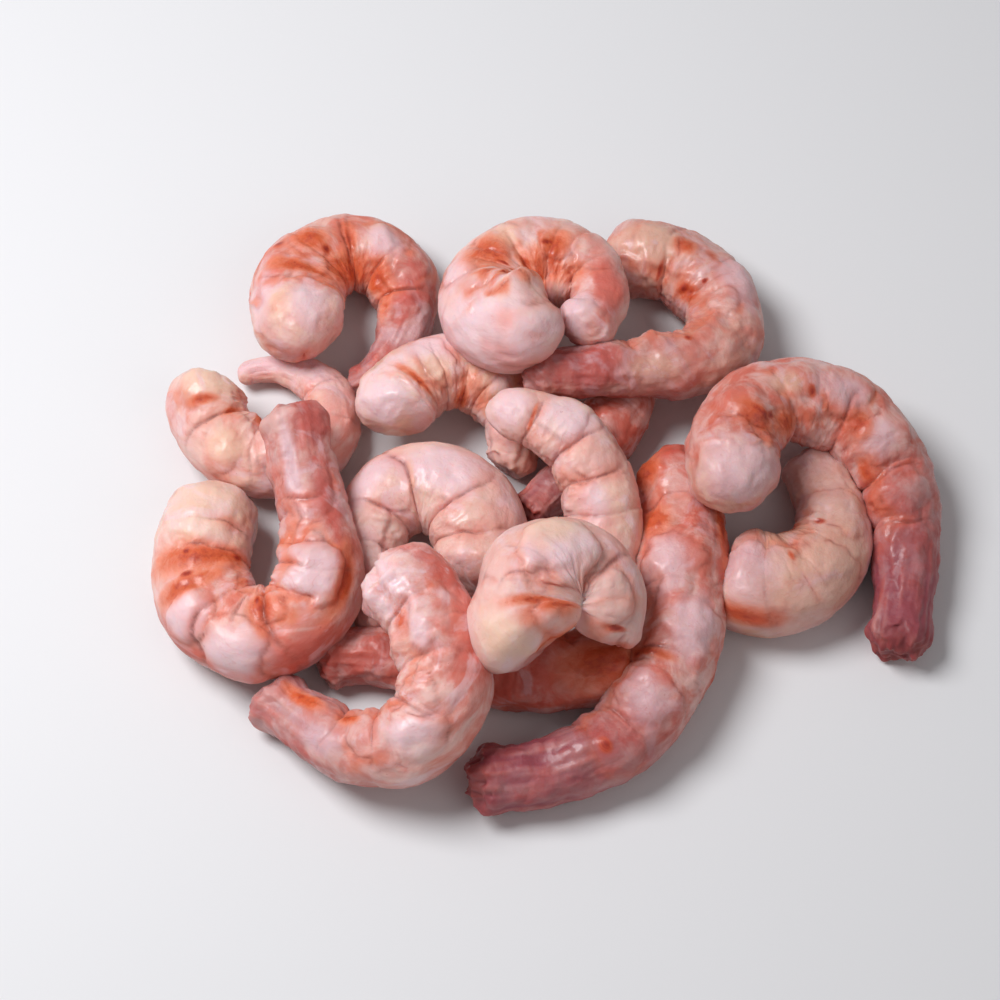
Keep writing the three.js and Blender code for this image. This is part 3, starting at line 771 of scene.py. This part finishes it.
WHITE_FLESH = colour(243, 209, 201)
LILAC_FLESH = colour(241, 208, 212)
CREAM_FLESH = colour(241, 200, 175)
PINK_FLESH = colour(225, 125, 106)
ROSY_FLESH = colour(216, 96, 78)
PEACH_FOLD = colour(235, 132, 92)
ORANGE_FOLD = colour(212, 88, 34)
RED_FOLD = colour(172, 46, 30)
MAUVE_TAIL = colour(152, 80, 92)
# Painted shade for the underside
UNDERSIDE_SHADE_TONE = colour(160, 66, 62)
DARK_LINE = colour(122, 38, 26)
# Painted shade for a shrimp that lies in shadow
PAINTED_SHADE_TONE = colour(166, 58, 42)


def new_group(name, inputs, outputs):
    """A node group with the sockets that are named, and the helpers to fill it."""
    group = bpy.data.node_groups.new(name, "ShaderNodeTree")
    for label, kind, value in inputs:
        socket = group.interface.new_socket(label, in_out="INPUT", socket_type=kind)
        socket.default_value = value
    for label, kind in outputs:
        group.interface.new_socket(label, in_out="OUTPUT", socket_type=kind)
    nodes = Nodes(group)
    return group, nodes, nodes.add("NodeGroupInput").outputs, nodes.add("NodeGroupOutput").inputs


class Look:
    """What the steps of the flesh colouring share: the values given to it, the masks and the noises."""

    def __init__(self, nodes, given):
        self.nodes, self.given = nodes, given
        self.mask = {key: nodes.mask(key) for key in MASKS}
        self.place = nodes.body_place()
        self.broad = nodes.noise(self.place, 110.0, 2.0)
        self.patchy = nodes.noise(self.place, 210.0, 4.0, 0.6, 0.6)
        self.clouds = nodes.noise(self.place, 150.0, 3.0, 0.6, 1.0)
        self.veins = nodes.noise(self.place, 430.0, 6.0, 0.7, 1.0)
        self.fine = nodes.noise(self.place, 1000.0, 5.0, 0.65)

    def ragged(self, value, noise, low, high, most, jitter=0.9):
        """A mask whose edge is broken up by noise."""
        shifted = self.nodes.math("MULTIPLY_ADD", self.nodes.math("SUBTRACT", noise, 0.5), jitter, value)
        return self.nodes.ramp(shifted, low, high, 0.0, most)


def pale_and_pink(look):
    """White and cream flesh that blushes pink in patches, with a paler dome and lilac clouds."""
    nodes, mask, given = look.nodes, look.mask, look.given
    cream = nodes.math("MULTIPLY", nodes.ramp(look.broad, 0.35, 0.65), given["Cream"])
    body = nodes.mix(cream, WHITE_FLESH, CREAM_FLESH)
    blush = nodes.math("MULTIPLY_ADD", mask["tint"], 0.2, nodes.ramp(look.patchy, 0.34, 0.66, 0.3, 1.4))
    body = nodes.mix(nodes.math("MULTIPLY", blush, given["Blush"], clamp=True), body, PINK_FLESH)
    body = nodes.mix(look.ragged(mask["rosy"], look.patchy, 0.1, 0.9, 0.8), body, ROSY_FLESH)
    bare = nodes.math("MULTIPLY", mask["bare"], nodes.ramp(look.patchy, 0.3, 0.7, 1.0, 0.6))
    bare = nodes.math("MULTIPLY", bare, nodes.math("MULTIPLY_ADD", given["Blush"], -0.4, 1.1), clamp=True)
    body = nodes.mix(bare, body, nodes.mix(nodes.ramp(look.broad, 0.4, 0.6), WHITE_FLESH, CREAM_FLESH))
    # Pale patches are whiter flesh, and on the tops of lobes and domes they are also a painted highlight, the
    # soft lilac-white sheen that the light leaves there.
    body = nodes.mix(look.ragged(mask["pale"], look.patchy, 0.15, 0.85, 0.85), body, LILAC_FLESH)
    body = nodes.mix(look.ragged(mask["cream"], look.patchy, 0.15, 0.85, 0.8), body, CREAM_FLESH)
    return nodes.mix(nodes.ramp(look.clouds, 0.52, 0.64, 0.0, 0.5), body, LILAC_FLESH)


def with_membranes(look, body):
    """Torn membranes leave thin rosy lines, and few of them on the bare dome."""
    nodes = look.nodes
    bending = nodes.noise(look.place, 190.0, 3.0, 0.55, 1.6)
    crossing = nodes.math("ABSOLUTE", nodes.math("SUBTRACT", bending, 0.5))
    membrane = nodes.math("MULTIPLY", nodes.ramp(crossing, 0.0, 0.016, 0.18, 0.0),
                          nodes.ramp(look.clouds, 0.42, 0.55))
    covered = nodes.math("MULTIPLY_ADD", look.mask["bare"], -0.85, 1.0)
    return nodes.mix(nodes.math("MULTIPLY", membrane, covered), body, ROSY_FLESH)


def with_mauve_tail(look, body):
    """The tail turns mauve, in streaks that follow its fibres."""
    nodes = look.nodes
    tail = nodes.ramp(nodes.math("MULTIPLY_ADD", look.broad, 0.2, look.mask["along"]), 0.56, 1.0)
    streaks = nodes.math("MULTIPLY_ADD", look.mask["fibre"], -0.35, 0.9)
    tail = nodes.math("MULTIPLY", nodes.math("MULTIPLY", tail, look.given["Mauve"]), streaks, clamp=True)
    return nodes.mix(tail, body, MAUVE_TAIL)


def with_orange_folds(look, body):
    """Peach, then orange, then red where the folds, the flank edges and the belly gather pigment, and painted
    shade that darkens the creases towards rose.
    """
    nodes, mask = look.nodes, look.mask
    folds = nodes.math("MULTIPLY_ADD", mask["crease"], 0.4, nodes.math("MULTIPLY", mask["hem"], 0.65))
    folds = nodes.math("MULTIPLY_ADD", mask["belly"], 0.15, folds)
    folds = nodes.math("MULTIPLY_ADD", mask["lip"], 0.6, folds)
    folds = nodes.math("MULTIPLY", folds, look.given["Orange"])
    folds = nodes.math("MAXIMUM", folds, mask["orange"])
    body = nodes.mix(look.ragged(folds, look.patchy, 0.05, 0.55, 0.75, 0.35), body, PEACH_FOLD)
    body = nodes.mix(look.ragged(folds, look.veins, 0.4, 0.9, 0.85, 1.1), body, ORANGE_FOLD)
    body = nodes.mix(look.ragged(folds, look.fine, 0.8, 1.2, 0.7, 1.3), body, RED_FOLD)
    # Painted shade: the creases are coloured towards rose, for the shade that falls in them.
    return nodes.mix(nodes.math("MULTIPLY", mask["crease"], 0.4), body, ROSY_FLESH)


def with_lines_and_flecks(look, body):
    """Red specks, dark lines in the grooves, dark flecks and the whitish rags of torn flesh."""
    nodes, mask = look.nodes, look.mask
    body = nodes.mix(nodes.ramp(look.fine, 0.66, 0.74, 0.0, 0.4), body, RED_FOLD)
    lines = nodes.math("MULTIPLY", mask["line"], nodes.ramp(look.veins, 0.35, 0.6, 0.2, 0.75), clamp=True)
    body = nodes.mix(lines, body, DARK_LINE)
    body = nodes.mix(look.ragged(mask["fleck"], look.patchy, 0.1, 0.6, 0.7, 0.5), body, ORANGE_FOLD)
    body = nodes.mix(look.ragged(mask["fleck"], look.veins, 0.4, 0.9, 0.85, 1.4), body, RED_FOLD)
    body = nodes.mix(look.ragged(mask["fleck"], look.veins, 0.75, 1.1, 0.7, 1.0), body, DARK_LINE)
    rags = nodes.math("MULTIPLY", mask["torn"], nodes.ramp(look.fine, 0.4, 0.6, 0.1, 0.8))
    return nodes.mix(rags, body, LILAC_FLESH)


def with_painted_shade(look, body):
    """Painted shade, darker on a shrimp that lies in shadow and on every shrimp's underside, and the dark end
    of a mauve tail.
    """
    nodes, mask, given = look.nodes, look.mask, look.given
    # Painted shade: a shrimp that lies in shadow is coloured darker all over, in uneven patches.
    painted_shade = nodes.math("MULTIPLY", given["Painted_shade"], nodes.ramp(look.patchy, 0.25, 0.75, 0.7, 1.2))
    body = nodes.mix(painted_shade, body, PAINTED_SHADE_TONE)
    # Painted shade: the underside is coloured darker, less on a bare dome.
    underside_shade = nodes.math("MULTIPLY", mask["under"], nodes.ramp(look.patchy, 0.3, 0.7, 0.3, 0.6))
    underside_shade = nodes.math("MULTIPLY", underside_shade, nodes.math("MULTIPLY_ADD", mask["bare"], -0.6, 1.0))
    body = nodes.mix(underside_shade, body, UNDERSIDE_SHADE_TONE)
    stump = nodes.ramp(nodes.math("MULTIPLY_ADD", look.clouds, 0.14, mask["along"]), 1.0, 1.07)
    stump = nodes.math("MULTIPLY", stump, nodes.math("MULTIPLY", given["Mauve"], 0.5))
    return nodes.mix(stump, body, DARK_LINE)


def flesh_colouring():
    """Colour of cooked shrimp flesh: pale dome, pink body, orange folds, mauve tail and dark lines in the
    creases, with painted shade in the folds, on the underside and on shrimps that lie in shadow.
    """
    name = "Flesh Colouring"
    if name in bpy.data.node_groups:
        return bpy.data.node_groups[name]
    usual = {"Blush": 0.5, "Orange": 0.5, "Cream": 0.3, "Mauve": 0.4, "Painted_shade": 0.0}
    group, nodes, given, result = new_group(
        name, [(label, "NodeSocketFloat", value) for label, value in usual.items()],
        [("Color", "NodeSocketColor")])
    look = Look(nodes, given)
    body = pale_and_pink(look)
    for step in (with_membranes, with_mauve_tail, with_orange_folds, with_lines_and_flecks, with_painted_shade):
        body = step(look, body)
    nodes.put(result["Color"], body)
    return group


def wet_surface():
    """Roughness and fine relief of moist flesh: a film of water, muscle fibre and small pits."""
    name = "Wet Surface"
    if name in bpy.data.node_groups:
        return bpy.data.node_groups[name]
    number = "NodeSocketFloat"
    group, nodes, given, result = new_group(
        name,
        [("Wetness", number, 0.6)],
        [("Roughness", number), ("Film", number), ("Height", number)])
    place = nodes.body_place()
    wet = nodes.ramp(nodes.noise(place, 260.0, 3.0), 0.35, 0.65)
    pits = nodes.noise(place, 1500.0, 4.0, 0.6)
    soft = nodes.noise(place, 600.0, 3.0, 0.5)
    dry = nodes.math("SUBTRACT", 1.0, nodes.math("MULTIPLY", wet, given["Wetness"]))
    nodes.put(result["Roughness"], nodes.math("MULTIPLY_ADD", dry, 0.3, 0.3))
    body = nodes.ramp(nodes.mask("along"), 0.7, 0.9, 1.0, 0.3)
    nodes.put(result["Film"], nodes.math("MULTIPLY", nodes.math("MULTIPLY", wet, given["Wetness"]), body))
    height = nodes.math("MULTIPLY_ADD", nodes.mask("fibre"), 0.3, nodes.math("MULTIPLY", soft, 0.7))
    nodes.put(result["Height"], nodes.math("MULTIPLY_ADD", pits, 0.45, height))
    return group


def flesh_material(name, settings):
    """Moist, slightly see-through flesh with this shrimp's own colouring."""
    shrimp = SHRIMPS[name]
    material = bpy.data.materials.new(name + "_flesh")
    material.use_nodes = True
    nodes = Nodes(material.node_tree)
    nodes.tree.nodes.clear()
    paint = nodes.add("ShaderNodeGroup", node_tree=flesh_colouring())
    for label in ("Blush", "Orange", "Cream", "Mauve", "Painted_shade"):
        paint.inputs[label].default_value = shrimp[label.lower()]
    film = nodes.add("ShaderNodeGroup", node_tree=wet_surface())
    film.inputs["Wetness"].default_value = settings.wetness
    bump = nodes.add("ShaderNodeBump", {"Height": film.outputs["Height"], "Strength": 0.65,
                                        "Distance": 0.0004})
    skin_shader = nodes.add("ShaderNodeBsdfPrincipled")
    for socket, value in {
        "Base Color": paint.outputs["Color"], "Roughness": film.outputs["Roughness"],
        "Coat Weight": film.outputs["Film"], "Coat Roughness": 0.22, "Normal": bump.outputs["Normal"],
        "Subsurface Weight": 0.5, "Subsurface Scale": 0.002, "Subsurface Radius": (1.0, 0.42, 0.28),
        "IOR": 1.4,
    }.items():
        nodes.put(skin_shader.inputs[socket], value)
    output = nodes.add("ShaderNodeOutputMaterial")
    nodes.put(output.inputs["Surface"], skin_shader.outputs["BSDF"])
    return material


def table_material(settings):
    material = bpy.data.materials.new("pale_table")
    material.use_nodes = True
    shader = material.node_tree.nodes["Principled BSDF"]
    shader.inputs["Base Color"].default_value = (*settings.table_colour, 1.0)
    shader.inputs["Roughness"].default_value = 0.6
    return material


# Stage

CAMERA_ELEVATION = math.radians(62)
CAMERA_DISTANCE = 420 * MM
PIXEL = 0.1625 * MM          # width of the photograph's pixel at the point aimed at
AIM = Vector((0, 0, 6)) * MM - Vector(HEAP_CENTRE.tolist()) * MM
PHOTO_WIDTH = 1000
SENSOR = 36.0
WINDOW_LIGHT = dict(place=(-0.26, 0.07, 0.42), size=0.26, power=2.25, tone=(0.96, 0.97, 1.0))
FILL_LIGHT = dict(place=(0.4, -0.35, 0.5), size=0.6, power=0.6, tone=(1.0, 0.97, 0.95))
ROOM_TONE, ROOM_LIGHT = (0.93, 0.95, 1.0, 1.0), 0.21
TABLE_REACH = 3.0


def make_camera():
    back = Vector((0, -math.cos(CAMERA_ELEVATION), math.sin(CAMERA_ELEVATION)))
    data = bpy.data.cameras.new("camera")
    data.sensor_width = SENSOR
    data.lens = SENSOR * CAMERA_DISTANCE / (PIXEL * PHOTO_WIDTH)
    data.clip_start = 0.01
    camera = bpy.data.objects.new("camera", data)
    camera.location = AIM + back * CAMERA_DISTANCE
    camera.rotation_mode = "QUATERNION"
    camera.rotation_quaternion = back.to_track_quat("Z", "Y")
    bpy.context.scene.collection.objects.link(camera)
    bpy.context.scene.camera = camera


def make_light(name, place, size, power, tone):
    data = bpy.data.lights.new(name, "AREA")
    data.shape = "DISK"
    data.size = size
    data.energy = power
    data.color = tone
    light = bpy.data.objects.new(name, data)
    light.location = place
    light.rotation_mode = "QUATERNION"
    light.rotation_quaternion = (Vector(place) - AIM).to_track_quat("Z", "Y")
    bpy.context.scene.collection.objects.link(light)


# Add-on

class ShrimpHeapSettings(bpy.types.PropertyGroup):
    """Sizes and colours of the heap that can be changed."""

    rings: IntProperty(name="Rings", description="Cross-sections along a shrimp", default=240, min=40)
    sides: IntProperty(name="Sides", description="Points round a cross-section", default=104, min=12)
    groove_depth: FloatProperty(
        name="Groove depth", description="Depth of the fine line between two segments, in mm",
        default=0.34, min=0.0)
    pleat_depth: FloatProperty(
        name="Pleat depth", description="Depth of the soft fold round that line, in mm",
        default=0.25, min=0.0)
    lobe_height: FloatProperty(
        name="Lobe height", description="How far a segment bulges on the belly, in mm", default=0.8, min=0.0)
    unevenness: FloatProperty(
        name="Unevenness", description="Height of the lumps in the flesh, in mm", default=0.45, min=0.0)
    wetness: FloatProperty(
        name="Wetness", description="How much of the flesh has a film of water", default=0.52,
        min=0.0, max=1.0, subtype="FACTOR")
    table_colour: FloatVectorProperty(
        name="Table colour", description="Colour of the plain table", subtype="COLOR",
        default=(0.8, 0.79, 0.79), min=0.0, max=1.0)


class SHRIMPHEAP_OT_table_layer(bpy.types.Operator):
    """Model the shrimps that lie on the table"""

    bl_idname = "shrimp_heap.table_layer"
    bl_label = "Shrimps on the table"

    def execute(self, context):
        for name in NAMES[:ON_TABLE]:
            make_shrimp(name, context.scene.shrimp_heap)
        return {"FINISHED"}


class SHRIMPHEAP_OT_upper_layer(bpy.types.Operator):
    """Model the shrimps that lie on others"""

    bl_idname = "shrimp_heap.upper_layer"
    bl_label = "Shrimps on others"

    def execute(self, context):
        for name in NAMES[ON_TABLE:]:
            make_shrimp(name, context.scene.shrimp_heap)
        return {"FINISHED"}


class SHRIMPHEAP_OT_stage(bpy.types.Operator):
    """Make the table, the lights and the camera"""

    bl_idname = "shrimp_heap.stage"
    bl_label = "Stage"

    def execute(self, context):
        mesh = bpy.data.meshes.new("table")
        corners = [(x * TABLE_REACH, y * TABLE_REACH, 0) for x, y in ((-1, -1), (1, -1), (1, 1), (-1, 1))]
        mesh.from_pydata(corners, [], [(0, 1, 2, 3)])
        mesh.materials.append(table_material(context.scene.shrimp_heap))
        table = bpy.data.objects.new("table", mesh)
        context.scene.collection.objects.link(table)
        make_camera()
        make_light("window", **WINDOW_LIGHT)
        make_light("fill", **FILL_LIGHT)
        world = bpy.data.worlds.new("studio")
        world.use_nodes = True
        background = world.node_tree.nodes["Background"]
        background.inputs["Color"].default_value = ROOM_TONE
        background.inputs["Strength"].default_value = ROOM_LIGHT
        context.scene.world = world
        context.scene.view_settings.view_transform = "Standard"
        return {"FINISHED"}


class SHRIMPHEAP_PT_panel(bpy.types.Panel):
    """Lists the steps that build the heap"""

    bl_idname = "SHRIMPHEAP_PT_panel"
    bl_label = "Shrimp Heap"
    bl_space_type = "VIEW_3D"
    bl_region_type = "UI"
    bl_category = "Shrimp Heap"

    def draw(self, context):
        for prop in ShrimpHeapSettings.__annotations__:
            self.layout.prop(context.scene.shrimp_heap, prop)
        for step in STEPS:
            self.layout.operator(step.bl_idname)


STEPS = (SHRIMPHEAP_OT_table_layer, SHRIMPHEAP_OT_upper_layer, SHRIMPHEAP_OT_stage)
CLASSES = (ShrimpHeapSettings, *STEPS, SHRIMPHEAP_PT_panel)


def register():
    for cls in CLASSES:
        bpy.utils.register_class(cls)
    bpy.types.Scene.shrimp_heap = PointerProperty(type=ShrimpHeapSettings)


def unregister():
    del bpy.types.Scene.shrimp_heap
    for cls in reversed(CLASSES):
        bpy.utils.unregister_class(cls)


def main():
    register()
    bpy.ops.shrimp_heap.table_layer()
    bpy.ops.shrimp_heap.upper_layer()
    bpy.ops.shrimp_heap.stage()


if __name__ == "__main__":
    main()
